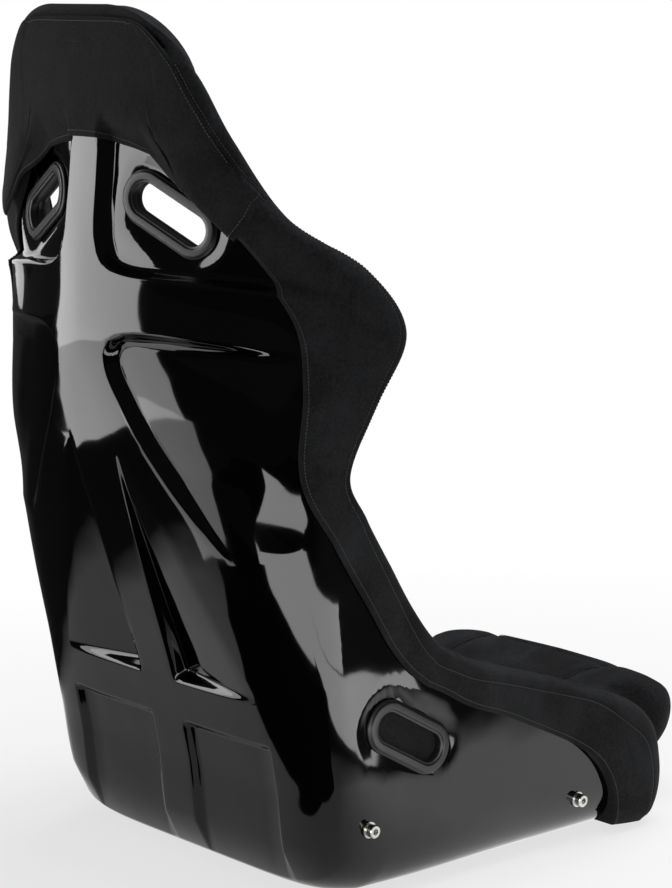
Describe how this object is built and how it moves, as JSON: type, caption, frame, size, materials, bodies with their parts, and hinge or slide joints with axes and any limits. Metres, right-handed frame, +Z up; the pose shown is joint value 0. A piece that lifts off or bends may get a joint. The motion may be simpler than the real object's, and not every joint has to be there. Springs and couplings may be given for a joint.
{
  "type": "racing seat",
  "caption": "Fixed-back racing bucket seat: glossy moulded shell with pressed spine, suede-covered bolsters and pads, belt-slot bezels and side-mount screws.",
  "frame": {"origin": "middle of the flat underside of the pan, midway between the flanks", "axes": "+Z up; the occupant faces -Y; +X points to the occupant's left"},
  "size_m": [0.5534, 0.6834, 0.8602],
  "materials": {
    "laminate": "high gloss",
    "suede": "short brushed pile",
    "bezel_plastic": "satin",
    "steel": "bright zinc",
    "hook_tape": "hook and loop"
  },
  "bodies": {
    "root": {"shell": "laminate", "shoulder_bezel_rear_right": "bezel_plastic", "shoulder_bezel_rear_left": "bezel_plastic", "shoulder_bezel_front_right": "bezel_plastic", "shoulder_bezel_front_left": "bezel_plastic", "lap_bezel_outer_right": "bezel_plastic", "lap_bezel_outer_left": "bezel_plastic", "lap_bezel_inner_right": "bezel_plastic", "lap_bezel_inner_left": "bezel_plastic", "crotch_bezel_pan": "bezel_plastic", "crotch_bezel_cushion": "bezel_plastic", "mount_screws": "steel", "mount_washers": "steel", "mount_inserts": "steel", "head_cover": "suede", "head_roll": "suede", "head_pad": "suede", "head_side_right": "suede", "head_side_left": "suede", "wing_right": "suede", "wing_left": "suede", "side_bolster_right": "suede", "side_bolster_left": "suede", "thigh_bolster_right": "suede", "thigh_bolster_left": "suede", "thigh_nose_right": "suede", "thigh_nose_left": "suede", "shoulder_panel": "suede", "back_pad": "suede", "lumbar_pad": "suede", "seat_cushion": "suede", "grip_strips": "hook_tape"}
  },
  "joints": []
}
